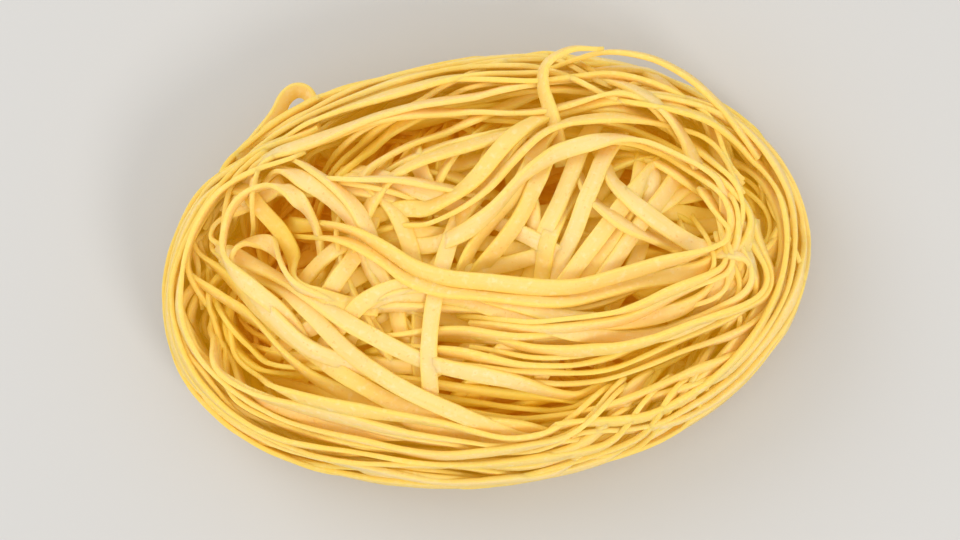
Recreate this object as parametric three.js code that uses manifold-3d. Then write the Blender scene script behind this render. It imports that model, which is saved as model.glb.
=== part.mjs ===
// A dry pasta nest: a winding of flat egg noodles, dried in one piece.
// Millimetres, +Z up, standing on z = 0 with its middle over the origin.
//
// The noodles are laid one after another on a map of heights, as they are in a real nest,
// so each one rests on what lies below it. Those that show are fused to a plain core.

import * as THREE from 'three';
import { mergeVertices } from 'three/addons/utils/BufferGeometryUtils.js';
import Module from 'manifold-3d';

// The noodle
const WIDE = 2.9;
const THICK = 0.85;

// The nest's outside: an oval, widest at its waist, on a smaller flat foot
const HALF_LONG = 58.3;
const HALF_SHORT = 38.6;
const SLANT = 0.07; // how far the oval leans sideways for each step along it
const BULGE = 0.035; // how much further it reaches in one direction
const BULGE_TURN = THREE.MathUtils.degToRad(216);
const BULGE_SHARP = 8;
const TALL = 39.5;
const WAIST = 13;
const FOOT = 0.82; // share of the oval that stands on the floor
const CROWN_DIP = 2.5; // shallow hollow in the middle of the top
const DIP_SPREAD = 0.1;
const CROWN_ROUND = [1.6, 0.62]; // powers of its curve: how flat it is on top, how steep at the side
const FLARE = 150; // how steeply the lower edge's bowl goes on beyond the outline

// The heap that the noodles are laid on, below the ones that show
const HEAP_DEPTH = 17;
const HEAP_RIM = 9;
const HEAP_DIP = 2;
const HEAP_ROUND = [1.5, 0.6];
const REACH = 0.985; // the share of the oval that they keep within

// The solid core, which the noodles are fused to
const CORE_DEPTH = 5;
const CORE_RIM = 2.6;
const CORE_FOOT = 0.8;
const CORE_SIDES = 36;
const CORE_RINGS = 11;

// How finely the noodles are laid and how finely they are built
const STEP = 1.5;
const MOST_STEPS = 7; // between two sections of a built noodle
const MOST_TURN = 0.45; // radians that a built noodle turns between two sections
const CELL = 0.5;
const SPAN_X = 66;
const SPAN_Y = 50;
const SEED = 11;

// Which noodles show: those with less than this over their middle, or beside it at the nest's side
const COVER_GAP = 2.0;
const SIDE_GAP = 0.02; // as a share of the oval
const SIDE_HEIGHT = 24;
const SHORTEST = 27;
const CLOSE = 2.8; // two noodles nearer than this lie along each other
const MOST_BESIDE = 0.3; // the share of a noodle that may

// How a bundle's noodles lie: spacing, share of standing on edge, tilt, twist and wander
const FLAT = { pitch: 3.1, edged: 0, tilt: 0.75, twist: 0.35, wander: 1.7 };
const LEANING = { pitch: 2.4, edged: 0, tilt: 0.95, twist: 0.4, wander: 1.5 };
const EDGED = { pitch: 1.6, edged: 0.8, tilt: 0.6, twist: 0.3, wander: 0.9 };
const STRINGY = { pitch: 2.1, edged: 0.8, tilt: 0.6, twist: 0.3, wander: 0.9 };
const COILED = { pitch: 1.7, edged: 0.2, tilt: 0.8, twist: 0.25, wander: 0.25 };
const SINGLE = { pitch: 3.3, edged: 0, tilt: 0.08, twist: 0.1, wander: 0.3 };

// Slow waves along a noodle, from side to side and in its roll: shortest, longest and share
const SWAYS = [[70, 140, 1], [24, 44, 0.3]];
const TWISTS = [[50, 90, 0.65], [22, 42, 0.35]];

// The noodles of a bundle differ: in spacing, and in the share of its length that each end may lack
const JITTER = 0.35;
const SHORTER = 0.13;

// Bundles of noodles, lowest first. A route is places on the plan, and rim() is a stretch of the oval.
const LOWER_BUNDLES = [
  ['right_low', LEANING, 8, [[-34, -22], [-18, -26], [-4, -23], [12, -23], [30, -17],
    ...rim(330, 375, 0.8)]],
  ['back_rim', EDGED, 5, rim(15, 215, 0.92)],
  ['front_rim', EDGED, 5, rim(165, 375, 0.92)],
  ['right_band', FLAT, 6, [...rim(170, 190, 0.8), [-38, -13], [-22, -15], [-4, -12], [14, -12],
    [32, -9], ...rim(350, 395, 0.8)]],
  ['far_right', FLAT, 7, [...rim(130, 105, 0.78), [-6, 22], [8, 23], [22, 19], [34, 10], [41, -4],
    ...rim(335, 305, 0.8)]],
  ['cross_band', LEANING, 4, [...rim(160, 145, 0.84), [-30, 9], [-16, 8.5], [0, 8], [14, 7], [30, 6],
    [40, 4], ...rim(0, -20, 0.82)]],
  ['high_cross', FLAT, 3, [...rim(150, 138, 0.84), [-20, 21], [-4, 18], [8, 17.5], [18, 17.5], [30, 17],
    [41, 12], ...rim(8, -25, 0.84)]],
  ['right_mid', FLAT, 4, [[-14, 12], [-3, 9], [8, 4.5], [14, 1.5], [21, -1.5], [28, -3], [38, -2],
    ...rim(5, 40, 0.84)]],
  ['low_cross', LEANING, 3, [...rim(192, 218, 0.86), [-38, -26.5], [-30, -25.5], [-22, -22.5],
    [-14, -19], [-4, -15], [10, -12], [24, -14], ...rim(335, 350, 0.8)]],
  ['slip', FLAT, 3, [[-34, -18], [-24, -12], [-14, -8], [0, -11], [14, -13], [30, -11],
    ...rim(350, 375, 0.86)]],
];

const UPPER_BUNDLES = [
  ['low_rim', LEANING, 6, rim(222, 335, 0.83)],
  ['end_rim', LEANING, 5, rim(290, 410, 0.83)],
  ['high_rim', LEANING, 5, rim(30, 150, 0.83)],
  ['hole_rim', LEANING, 6, [...rim(150, 172, 0.9), [-51, -4], [-48.5, -11], [-45, -17], [-39.5, -21.5],
    [-33, -23.5], [-24, -24.5], [-10, -26], [6, -28], ...rim(300, 335, 0.86)]],
  ['left_low', LEANING, 6, [...rim(140, 200, 0.94), [-50, -20], [-44, -26.5], [-36, -30.5], [-24, -33],
    [-8, -34], ...rim(280, 320, 0.92)]],
  ['top_left', LEANING, 6, [...rim(188, 160, 0.92), [-42.3, 19.9], [-36.4, 22.4], [-27.5, 26],
    [-19.4, 28.6], [-9.5, 30.5], [10, 31.5], [24, 30.5], ...rim(42, 5, 0.92)]],
  ['fan', FLAT, 5, [[-36, 0], [-30, 6], [-23.5, 12.5], [-17, 19], [-11, 23], [-4, 26.5], [6, 30],
    [18, 32], ...rim(48, 20, 0.9)]],
  ['small_bend', LEANING, 2, [...rim(75, 62, 0.82), [20, 21], [22, 16], [23, 12.8], [25, 10], [29, 6.5],
    [38, 3], ...rim(355, 325, 0.84)]],
  ['upright', SINGLE, 2, [[8, -15], [11.5, -8], [14.4, 0], [15.9, 4], [17.8, 8.6], [19.7, 13.4],
    [22, 20], ...rim(55, 20, 0.86)]],
  ['steep', FLAT, 3, [[-16, -16], [-9, -8.5], [-3, -1.4], [0.5, 3.2], [3.6, 6.6], [6.6, 10.1], [9, 14],
    [11.4, 17.8], [14.3, 20.8], [19, 23], [28, 22.5], [38, 17], ...rim(8, -20, 0.85)]],
  ['sweep', FLAT, 3, [[-36, 2], [-24, 3], [-18, 4.5], [-12.6, 5.3], [-6.8, 5.6], [-2, 8.4], [2.8, 12.5],
    [6.6, 16.4], [10, 19.7], [13.4, 22.6], [18.2, 24.8], [26, 25.5], [36, 22.6],
    ...rim(22, -10, 0.88)]],
  ['eye_over', LEANING, 3, [...rim(215, 196, 0.92), [-51.5, 0], [-51.3, 5.4], [-50, 9.5], [-47, 12.8],
    [-42.5, 14.9], [-38.2, 15.6], [-32.3, 15.2], [-26.2, 13.8], [-19.7, 13], [-12.9, 12.2],
    [-6.3, 10.5], [4, 8]]],
  ['eye_side', COILED, 2, [...rim(160, 152, 0.84), [-34, 16.5], [-26.6, 13], [-23.2, 10.4], [-19.9, 7],
    [-17.9, 3.2], [-17, -0.5], [-15, -4.5], [-10, -9], [0, -13], [14, -15]]],
  ['low_band', STRINGY, 7, [[-24, -20], [-14, -17], [-2, -16], [10, -17], [22, -16], [34, -11],
    ...rim(345, 375, 0.84)]],
  ['curved', SINGLE, 2, [[-38, -26], [-28, -18], [-20.2, -11], [-16.6, -7.6], [-12.3, -5.6],
    [-5.8, -4.8], [-0.5, -5.4], [8, -8], [20, -11], [34, -10], ...rim(350, 370, 0.82)]],
  ['broad', FLAT, 4, [...rim(140, 162, 0.92), [-50, 2.5], [-43.5, -1.5], [-36, -6], [-29, -11],
    [-22, -16], [-15, -20], [-7, -24], [6, -28], ...rim(292, 325, 0.88)]],
  ['post', SINGLE, 1, [[0.5, 14], [-1, 8], [-2.6, 3], [-3.8, -3], [-4.6, -8], [-5, -13], [-5.4, -19],
    [-6, -25], [-8, -31], [-13, -35]]],
  ['mid_long', LEANING, 2, [...rim(160, 166, 0.8), [-36, 6], [-26, 5], [-18, 3], [-12.3, 0.6],
    [-7.9, -1.8], [-2.2, -4], [4.1, -5.3], [11.3, -6], [21, -6.2], [34, -4], ...rim(0, 25, 0.86)]],
  ['eye_mid', COILED, 1, [...rim(200, 176, 0.9), [-45, 12.6], [-40, 12.8], [-36.8, 9.4], [-33.9, 6],
    [-31.5, 2.2], [-28.6, -4.2], [-22, -8], [-12, -10]]],
  ['eye_inner', COILED, 1, [[-14, -12], [-22, -9.5], [-29, -5], [-31, -2], [-33.4, 1.6], [-35.5, 3.6],
    [-38.3, 3.9], [-41.2, 2.6], [-42, -0.5], [-39.5, -4], [-34, -9.5], [-27, -16], [-18, -21],
    [-8, -26]]],
  ['bar', COILED, 1, [[-24, -12], [-27.4, -6], [-27.6, -0.5], [-27.4, 6], [-28.6, 10.4], [-32, 13],
    [-35.5, 13.6], [-39.5, 12.4], [-42.6, 9.2], [-43.8, 5], [-43, 0.5], [-40, -3], [-36.5, -5.8],
    [-33.9, -8.5], [-31.8, -12], [-30.6, -16], [-30.2, -19]]],
  ['left_strands', STRINGY, 5, [...rim(184, 197, 0.9), [-49.5, -14.5], [-45, -20], [-38, -24.5],
    [-29, -27.5], [-18, -29.5], [-5, -31], ...rim(280, 318, 0.87)]],
  ['top_strands', LEANING, 4, [...rim(160, 140, 0.88), [-31, 23], [-22, 26], [-12, 28.5], [-2, 30],
    [10, 31], ...rim(62, 20, 0.9)]],
  ['band_strands', STRINGY, 4, [[-2, -13.5], [6, -14], [14, -14.5], [26, -13], [36, -9],
    ...rim(350, 370, 0.86)]],
  ['end_over', EDGED, 4, rim(-75, 75, 0.95)],
  ['back_over', EDGED, 4, rim(50, 168, 0.92)],
  ['front_over', EDGED, 5, rim(118, 318, 0.93)],
];

// Noodles that stand off the nest: route, heights at start, middle and end, and rolls at start and end
const LOOSE = [
  ['stray_loop', [[-30, 21], [-31.2, 26], [-31.3, 30], [-32.4, 32.4], [-34.4, 33.2], [-36.2, 31.8],
    [-37.8, 28.4], [-40.4, 24.6], [-44, 19]], [18, 13, 18], [0.8, 0.8]],
  ['loose_end', [[16, 16], [14.5, 24], [12.5, 30], [13, 34], [17, 36.6], [22, 37]],
    [33, 33, 28], [0.4, 1.4]],
  ['thin_arc', [[12, 34], [22, 37], [30, 36], [37, 32.5], [43, 27], [49, 19]],
    [24, 24, 20], [1.4, 1.2]],
];

// The rings that make the side, from the floor up
const SIDE_RINGS = 17;
const SIDE_TURN = 137.5;
const SIDE_WANDER = 0.8;
const SIDE_SHARES = [0.85, 0.96]; // of the oval
const SIDE_SWEEPS = [190, 300]; // degrees
const SIDE_STYLE = { edged: 0, tilt: 0, twist: 0.2 };

// Single noodles across the nest, between the lower bundles and the upper ones
const FILL = 52;
const TRIES = 7;
const FILL_REACH = 0.87; // the share of the oval that they run to
const FILL_TILT = 0.8;
const FILL_TWIST = 0.3;

// Hollows that they leave open: place and radius
const HOLLOWS = [[-40, -11, 4.5], [13.4, 14.4, 3.5], [-36, 5, 9]];

// Numbers

// A seeded draw between two numbers
function seeded(seed) {
  let state = seed | 0;
  return (low = 0, high = 1) => {
    state = (state + 0x6d2b79f5) | 0;
    let t = Math.imul(state ^ (state >>> 15), state | 1);
    t ^= t + Math.imul(t ^ (t >>> 7), t | 61);
    return low + ((high - low) * ((t ^ (t >>> 14)) >>> 0)) / 4294967296;
  };
}

const clamp = THREE.MathUtils.clamp;
const ease = (low, high, x) => THREE.MathUtils.smoothstep(x, low, high);
const rounded = (x) => Math.floor(x + 0.5);

// Each value replaced by the mean of itself and its neighbours, a number of times
function smooth(values, times) {
  let out = values;
  for (let k = 0; k < times; k += 1) {
    out = out.map((v, i) => (i === 0 || i === out.length - 1 ? v : (out[i - 1] + 2 * v + out[i + 1]) / 4));
  }
  return out;
}

// Rate of change from one value to the next
function slope(values) {
  const last = values.length - 1;
  return values.map((v, i) => {
    if (i === 0) return values[1] - v;
    if (i === last) return v - values[last - 1];
    return (values[i + 1] - values[i - 1]) / 2;
  });
}

// The nest's shape

// How far the outline reaches in a direction, against a plain oval
function bulge(turn) {
  return 1 + BULGE * Math.exp(BULGE_SHARP * (Math.cos(turn - BULGE_TURN) - 1));
}

// How far out a place is: 1 on the outline
function ovalShare(x, y) {
  const out = x / HALF_LONG;
  const side = (y - SLANT * x) / HALF_SHORT;
  return Math.hypot(out, side) / bulge(Math.atan2(side, out));
}

// Height of the nest's outside over a place
function skin(x, y) {
  const r2 = Math.min(ovalShare(x, y) ** 2, 1);
  const [top, side] = CROWN_ROUND;
  return WAIST + (TALL + 1 - WAIST) * (1 - r2 ** top) ** side - CROWN_DIP * Math.exp(-r2 / DIP_SPREAD);
}

// Height of the rounded lower edge over a place
function bowl(x, y) {
  const r = ovalShare(x, y);
  if (r > 1) return WAIST + (r - 1) * FLARE;
  return WAIST * (1 - Math.sqrt(clamp((1 - r) / (1 - FOOT), 0, 1)));
}

// Height of the heap of noodles below those that show
function heap(x, y) {
  const r2 = (x / (HALF_LONG - HEAP_RIM)) ** 2 + ((y - SLANT * x) / (HALF_SHORT - HEAP_RIM)) ** 2;
  if (r2 >= 1) return 0;
  const [top, side] = HEAP_ROUND;
  const rise = (TALL - HEAP_DEPTH - WAIST) * (1 - r2 ** top) ** side;
  return WAIST + rise - HEAP_DIP * Math.exp(-r2 / DIP_SPREAD);
}

// Places along the oval from one angle to another, in degrees
function rim(start, end, share) {
  const count = Math.max(2, Math.ceil(Math.abs(end - start) / 24) + 1);
  return Array.from({ length: count }, (_, i) => {
    const angle = THREE.MathUtils.degToRad(start + ((end - start) * i) / (count - 1));
    const reach = share * bulge(angle);
    const x = HALF_LONG * reach * Math.cos(angle);
    return [x, HALF_SHORT * reach * Math.sin(angle) + SLANT * x];
  });
}

// The map of heights

class Pile {
  constructor() {
    this.countX = (2 * SPAN_X) / CELL + 1;
    this.countY = (2 * SPAN_Y) / CELL + 1;
    this.height = new Float64Array(this.countX * this.countY);
    this.top = new Float64Array(this.countX * this.countY);
    for (let i = 0; i < this.countX; i += 1) {
      for (let j = 0; j < this.countY; j += 1) {
        const x = i * CELL - SPAN_X;
        const y = j * CELL - SPAN_Y;
        this.height[i * this.countY + j] = Math.max(bowl(x, y), heap(x, y));
      }
    }
  }

  cell(x, y) {
    const i = clamp(rounded((x + SPAN_X) / CELL), 0, this.countX - 1);
    const j = clamp(rounded((y + SPAN_Y) / CELL), 0, this.countY - 1);
    return i * this.countY + j;
  }

  at(x, y) {
    return this.height[this.cell(x, y)];
  }

  // Raises the map to a noodle that now lies on it
  mark(noodle) {
    const spot = new THREE.Vector3();
    for (let i = 0; i + 1 < noodle.points.length; i += 1) {
      for (const part of [0, 1 / 3, 2 / 3]) {
        const middle = noodle.points[i].clone().lerp(noodle.points[i + 1], part);
        const across = noodle.across[i].clone().lerp(noodle.across[i + 1], part);
        const face = noodle.face[i].clone().lerp(noodle.face[i + 1], part);
        for (let k = -6; k <= 6; k += 1) {
          for (const side of [-1, 1]) {
            spot.copy(middle).addScaledVector(across, (k / 6) * (WIDE / 2));
            spot.addScaledVector(face, side * (THICK / 2));
            const cell = this.cell(spot.x, spot.y);
            this.height[cell] = Math.max(this.height[cell], spot.z);
            this.top[cell] = Math.max(this.top[cell], spot.z);
          }
        }
      }
    }
  }
}

// Paths on the plan

// A smooth path through places
function way(places) {
  const curve = new THREE.CatmullRomCurve3(places.map(([x, y]) => new THREE.Vector3(x, y, 0)));
  const count = 24 * (places.length - 1);
  return Array.from({ length: count + 1 }, (_, i) => {
    const p = curve.getPoint(i / count);
    return [p.x, p.y];
  });
}

// Lengths along a path, up to each of its places
function lengths(path) {
  const out = [0];
  for (let i = 1; i < path.length; i += 1) {
    out.push(out[i - 1] + Math.hypot(path[i][0] - path[i - 1][0], path[i][1] - path[i - 1][1]));
  }
  return out;
}

// The path in steps of equal length
function stepped(path) {
  const along = lengths(path);
  const total = along[along.length - 1];
  const count = Math.max(4, rounded(total / STEP));
  const out = [];
  let k = 0;
  for (let i = 0; i <= count; i += 1) {
    const want = (total * i) / count;
    while (k < along.length - 2 && along[k + 1] < want) k += 1;
    const t = (want - along[k]) / (along[k + 1] - along[k]);
    out.push([0, 1].map((axis) => path[k][axis] + (path[k + 1][axis] - path[k][axis]) * t));
  }
  return out;
}

// Normals to the left of a path, and how sharply it bends
function sides(path) {
  const dx = slope(path.map((p) => p[0]));
  const dy = slope(path.map((p) => p[1]));
  const normals = dx.map((x, i) => {
    const size = Math.hypot(x, dy[i]);
    return [-dy[i] / size, x / size];
  });
  const turnX = slope(normals.map((n) => n[1]));
  const turnY = slope(normals.map((n) => -n[0]));
  const bends = normals.map((n, i) => (turnX[i] * n[0] + turnY[i] * n[1]) / STEP);
  return { normals, bends: smooth(bends, 6) };
}

// Waves with drawn lengths and starts
function wavesOf(kinds, draw) {
  const sizes = kinds.map(([shortest, longest, share]) => [draw(shortest, longest), share]);
  return sizes.map(([wave, share]) => [wave, share, draw()]);
}

// What waves add up to some way along
function swing(waves, along) {
  return waves.reduce((sum, [wave, share, start]) => (
    sum + share * Math.sin(2 * Math.PI * (along / wave + start))), 0);
}

// A path beside another one, nearing or leaving it and wandering slowly from side to side
function beside(path, offset, wander, draw) {
  const { normals } = sides(path);
  const along = lengths(path);
  const total = along[along.length - 1];
  const start = draw(0.5, 1.5);
  const end = draw(0.5, 1.5);
  const waves = wavesOf(SWAYS, draw);
  return path.map(([x, y], i) => {
    const spaced = offset * (start + ((end - start) * along[i]) / total);
    const off = spaced + wander * swing(waves, along[i]);
    const place = [x + normals[i][0] * off, y + normals[i][1] * off];
    const held = Math.min(1, REACH / ovalShare(place[0], place[1]));
    return [place[0] * held, place[1] * held];
  });
}

// The path with its ends turned in under the noodles beside it
function turnedIn(path) {
  const along = lengths(path);
  const total = along[along.length - 1];
  return path.map(([x, y], i) => {
    const ends = 2 - ease(0, END_LENGTH, along[i]) - ease(0, END_LENGTH, total - along[i]);
    return [x * (1 - END_TURN * ends), y * (1 - END_TURN * ends)];
  });
}

// Laying a noodle

// Roll that lays a noodle's face against the nest's side; none in the middle of the nest
function skinRoll(x, y, z, normal) {
  const up = z >= WAIST;
  const reach = up ? TALL - WAIST : WAIST * 1.6;
  const side = y - SLANT * x;
  const share = Math.hypot(ovalShare(x, y), (z - WAIST) / reach);
  const sign = up ? 1 : -1;
  const out = new THREE.Vector3(
    (sign * x) / HALF_LONG ** 2,
    (sign * side) / HALF_SHORT ** 2,
    Math.abs(z - WAIST) / reach ** 2,
  ).normalize();
  const part = ease(0.45, 0.95, share);
  return Math.atan2((out.x * normal[0] + out.y * normal[1]) * part, out.z * part + 1 - part);
}

// The height at each step that clears what lies below a noodle rolled by rolls
function needed(pile, path, normals, rolls) {
  return path.map(([x, y], i) => {
    const c = Math.cos(rolls[i]);
    const s = Math.sin(rolls[i]);
    let best = -Infinity;
    for (const part of [-1, -0.5, 0, 0.5, 1]) {
      for (const side of [-1, 1]) {
        const out = part * (WIDE / 2) * c + side * (THICK / 2) * s;
        const up = -part * (WIDE / 2) * s + side * (THICK / 2) * c;
        best = Math.max(best, pile.at(x + normals[i][0] * out, y + normals[i][1] * out) - up);
      }
    }
    return best;
  });
}

// A stiff noodle bridges the hollows below it
function drape(need, times) {
  let z = need;
  for (let k = 0; k < times; k += 1) {
    z = smooth(z, 1).map((v, i) => Math.max(v, need[i]));
  }
  return smooth(z, 3);
}

const STIFF = 11;
const END_DEPTH = 5; // how far a noodle's ends are tucked in
const END_LENGTH = 16;
const END_TURN = 0.09; // share by which they turn in under the noodles beside them
const CLEAR = 0.15; // above the floor
const LEAN_SHARE = 0.6; // of the slope of what lies below
const MOST_LEAN = 0.6;
const PROBE = 1.6; // how far beside a noodle that slope is taken
const NARROWEST = 0.25; // share of that for a noodle on its edge
const BENDS = [0.03, 0.085]; // sharpness at which a noodle starts to turn on its edge, and is on it

// The roll along a noodle: on its edge in sharp bends, and leaning with what lies below
function rollAlong(pile, path, { normals, bends }, heights, { edged, tilt, twist }, draw) {
  const rolls = path.map(([x, y], i) => skinRoll(x, y, heights[i], normals[i]));
  for (let i = 1; i < rolls.length; i += 1) {
    rolls[i] += Math.PI * rounded((rolls[i - 1] - rolls[i]) / Math.PI);
  }
  const waves = wavesOf(TWISTS, draw);
  const wanted = rolls.map((roll, i) => {
    const bend = Math.max(edged, ease(...BENDS, Math.abs(bends[i])));
    const sine = Math.sin(roll);
    let edge = ((Math.abs(sine) > 0.2 ? Math.sign(sine) : Math.sign(bends[i])) * Math.PI) / 2;
    edge += Math.PI * rounded((roll - edge) / Math.PI);
    const side = ease(0.15, 0.5, Math.abs(sine));
    const steeper = tilt * (1 - side) + Math.abs(tilt) * Math.sign(sine) * side;
    return (roll + steeper) * (1 - bend) + edge * bend + twist * swing(waves, i * STEP);
  });
  const reaches = wanted.map((roll) => Math.max(Math.abs(Math.cos(roll)), NARROWEST));
  const drops = path.map(([x, y], i) => {
    const out = normals[i].map((v) => v * PROBE * reaches[i]);
    return pile.at(x + out[0], y + out[1]) - pile.at(x - out[0], y - out[1]);
  });
  const leans = smooth(drops, 6).map((drop, i) => {
    const lean = Math.atan(drop / (2 * PROBE * reaches[i])) * Math.cos(wanted[i]) ** 2;
    return clamp(lean, -MOST_LEAN, MOST_LEAN);
  });
  return smooth(wanted.map((roll, i) => roll - LEAN_SHARE * leans[i]), 10);
}

// Directions across a noodle and out of its face, for points with plan normals and rolls
function framed(points, normals, rolls) {
  const along = ['x', 'y', 'z'].map((axis) => slope(points.map((p) => p[axis])));
  const face = points.map((_, i) => {
    const tangent = new THREE.Vector3(along[0][i], along[1][i], along[2][i]).normalize();
    const s = Math.sin(rolls[i]);
    const out = new THREE.Vector3(s * normals[i][0], s * normals[i][1], Math.cos(rolls[i]));
    return out.addScaledVector(tangent, -out.dot(tangent)).normalize();
  });
  const across = points.map((_, i) => {
    const tangent = new THREE.Vector3(along[0][i], along[1][i], along[2][i]).normalize();
    return face[i].clone().cross(tangent);
  });
  return { points, across, face };
}

// Lowest height of a noodle's middle at which it clears the floor
const clearOfFloor = (level, upright) => CLEAR + level * (THICK / 2) + upright * (WIDE / 2);

// Lays one noodle on the pile
function lay(pile, path, style, draw) {
  const steps = stepped(path);
  const shape = sides(steps);
  const flat = steps.map(() => 0);
  const first = drape(needed(pile, steps, shape.normals, flat), STIFF);
  const rolls = rollAlong(pile, steps, shape, first, style, draw);
  const heights = drape(needed(pile, steps, shape.normals, rolls).map((z) => z + 0.03), STIFF);
  const last = (steps.length - 1) * STEP;
  const points = steps.map(([x, y], i) => {
    const fromStart = 1 - ease(0, END_LENGTH, i * STEP);
    const fromEnd = 1 - ease(0, END_LENGTH, last - i * STEP);
    const z = heights[i] - END_DEPTH * (fromStart + fromEnd);
    const least = clearOfFloor(Math.abs(Math.cos(rolls[i])), Math.abs(Math.sin(rolls[i])));
    return new THREE.Vector3(x, y, Math.max(z, least));
  });
  const noodle = framed(points, shape.normals, rolls);
  pile.mark(noodle);
  return noodle;
}

// The rings of the side
function layRings(pile, draw) {
  return Array.from({ length: SIDE_RINGS }, (_, i) => {
    const share = draw(...SIDE_SHARES);
    const start = i * SIDE_TURN;
    const ring = way(rim(start, start + draw(...SIDE_SWEEPS) * (i % 2 ? 1 : -1), share));
    return lay(pile, turnedIn(beside(ring, 0, SIDE_WANDER, draw)), SIDE_STYLE, draw);
  });
}

// Bundles of noodles, lowest first
function layBundles(pile, bundles, draw) {
  const noodles = [];
  for (const [, { pitch, edged, tilt, twist, wander }, count, route] of bundles) {
    const middle = way(route);
    for (let j = 0; j < count; j += 1) {
      const path = beside(middle, (j - (count - 1) / 2 + draw(-JITTER, JITTER)) * pitch, wander, draw);
      const start = Math.floor(path.length * draw(0, SHORTER));
      const end = path.length - Math.floor(path.length * draw(0, SHORTER));
      const side = draw() < 0.6 ? 1 : -1;
      const style = { edged, tilt: tilt * side * draw(0.4, 1.4), twist };
      noodles.push(lay(pile, turnedIn(path.slice(start, end)), style, draw));
    }
  }
  return noodles;
}

// A route from one side of the nest to the other
function chord(draw) {
  const start = draw(0, 360);
  const end = start + draw(100, 260);
  const across = rim(draw(0, 360), 0, draw(0, 0.5))[0];
  return way([rim(start, 0, FILL_REACH)[0], across, rim(end, 0, FILL_REACH)[0]]);
}

const leavesHollows = (path) => HOLLOWS.every(([x, y, radius]) => (
  path.every((place) => Math.hypot(place[0] - x, place[1] - y) > radius)));

// The mean room between the pile and the nest's outside along a path
function roomOver(pile, path) {
  return path.reduce((sum, [x, y]) => sum + skin(x, y) - pile.at(x, y), 0) / path.length;
}

// Single noodles across the nest, each where the pile is lowest
function layFill(pile, draw) {
  const noodles = [];
  for (let k = 0; k < FILL; k += 1) {
    let best = null;
    let most = -Infinity;
    for (let i = 0; i < TRIES; i += 1) {
      const path = chord(draw);
      const room = roomOver(pile, path);
      if (room > most && leavesHollows(path)) {
        best = path;
        most = room;
      }
    }
    const style = { edged: 0, tilt: draw(-FILL_TILT, FILL_TILT), twist: FILL_TWIST };
    if (best) noodles.push(lay(pile, turnedIn(best), style, draw));
  }
  return noodles;
}

function layAll(pile, draw) {
  return [
    ...layRings(pile, draw),
    ...layBundles(pile, LOWER_BUNDLES, draw),
    ...layFill(pile, draw),
    ...layBundles(pile, UPPER_BUNDLES, draw),
  ];
}

// A noodle at given heights
function stand(path, [start, middle, end], [firstRoll, lastRoll]) {
  const steps = stepped(way(path));
  const last = steps.length - 1;
  const points = steps.map(([x, y], i) => {
    const t = i / last;
    const z = start * (1 - t) * (1 - 2 * t) + 4 * middle * t * (1 - t) + end * t * (2 * t - 1);
    return new THREE.Vector3(x, y, z);
  });
  const rolls = steps.map((_, i) => firstRoll + (lastRoll - firstRoll) * (i / last));
  return framed(points, sides(steps).normals, rolls);
}

// Bringing the heap up to the nest's outside

const BLOCK = 4; // cells
const BLURS = 10;
const HELD_DOWN = 0.6; // the share of what stands out that is pressed in

// The pile's height over the plan, in blocks, smoothed where noodles lie
function smoothedTop(pile) {
  const countX = Math.ceil(pile.countX / BLOCK);
  const countY = Math.ceil(pile.countY / BLOCK);
  let sum = Array.from({ length: countX }, () => new Array(countY).fill(0));
  let weight = sum.map((row) => row.slice());
  for (let i = 0; i < pile.countX; i += 1) {
    for (let j = 0; j < pile.countY; j += 1) {
      const top = pile.top[i * pile.countY + j];
      const row = Math.floor(i / BLOCK);
      const column = Math.floor(j / BLOCK);
      sum[row][column] = Math.max(sum[row][column], top);
      if (top > 0) weight[row][column] = 1;
    }
  }
  const blur = (grid) => {
    const down = grid.map((row, i) => row.map((v, j) => (
      i === 0 || i === countX - 1 ? v : (grid[i - 1][j] + 2 * v + grid[i + 1][j]) / 4)));
    return down.map((row) => smooth(row, 1));
  };
  for (let k = 0; k < BLURS; k += 1) {
    sum = blur(sum);
    weight = blur(weight);
  }
  return sum.map((row, i) => row.map((v, j) => v / Math.max(weight[i][j], 1e-6)));
}

// A block map's value between its blocks' middles
function between(grid, x, y) {
  const gx = (x + SPAN_X) / CELL / BLOCK - 0.5;
  const gy = (y + SPAN_Y) / CELL / BLOCK - 0.5;
  const i = clamp(Math.trunc(gx), 0, grid.length - 2);
  const j = clamp(Math.trunc(gy), 0, grid[0].length - 2);
  const near = grid[i][j] + (grid[i + 1][j] - grid[i][j]) * (gx - i);
  const far = grid[i][j + 1] + (grid[i + 1][j + 1] - grid[i][j + 1]) * (gx - i);
  return near + (far - near) * (gy - j);
}

// Scales a noodle's height, so that the crown comes up to the nest's outside
function levelled(noodle, top) {
  const scales = smooth(noodle.points.map((p) => skin(p.x, p.y) / between(top, p.x, p.y)), 3);
  const points = noodle.points.map((p, i) => {
    const scaled = p.z * scales[i];
    const over = Math.max(scaled - skin(p.x, p.y), 0);
    const level = Math.abs(noodle.face[i].z);
    const least = clearOfFloor(level, Math.sqrt(Math.max(1 - level ** 2, 0)));
    return new THREE.Vector3(p.x, p.y, Math.max(scaled - over * HELD_DOWN, least));
  });
  return { ...noodle, points };
}

// How far out noodles reach, by direction and height
function sector(p) {
  const angle = Math.atan2((p.y - SLANT * p.x) / HALF_SHORT, p.x / HALF_LONG);
  return `${rounded(angle * 10)},${rounded(p.z / 2)}`;
}

function reachOf(noodles) {
  const reach = new Map();
  for (const p of noodles.flatMap((noodle) => noodle.points)) {
    reach.set(sector(p), Math.max(reach.get(sector(p)) ?? 0, ovalShare(p.x, p.y)));
  }
  return reach;
}

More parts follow.
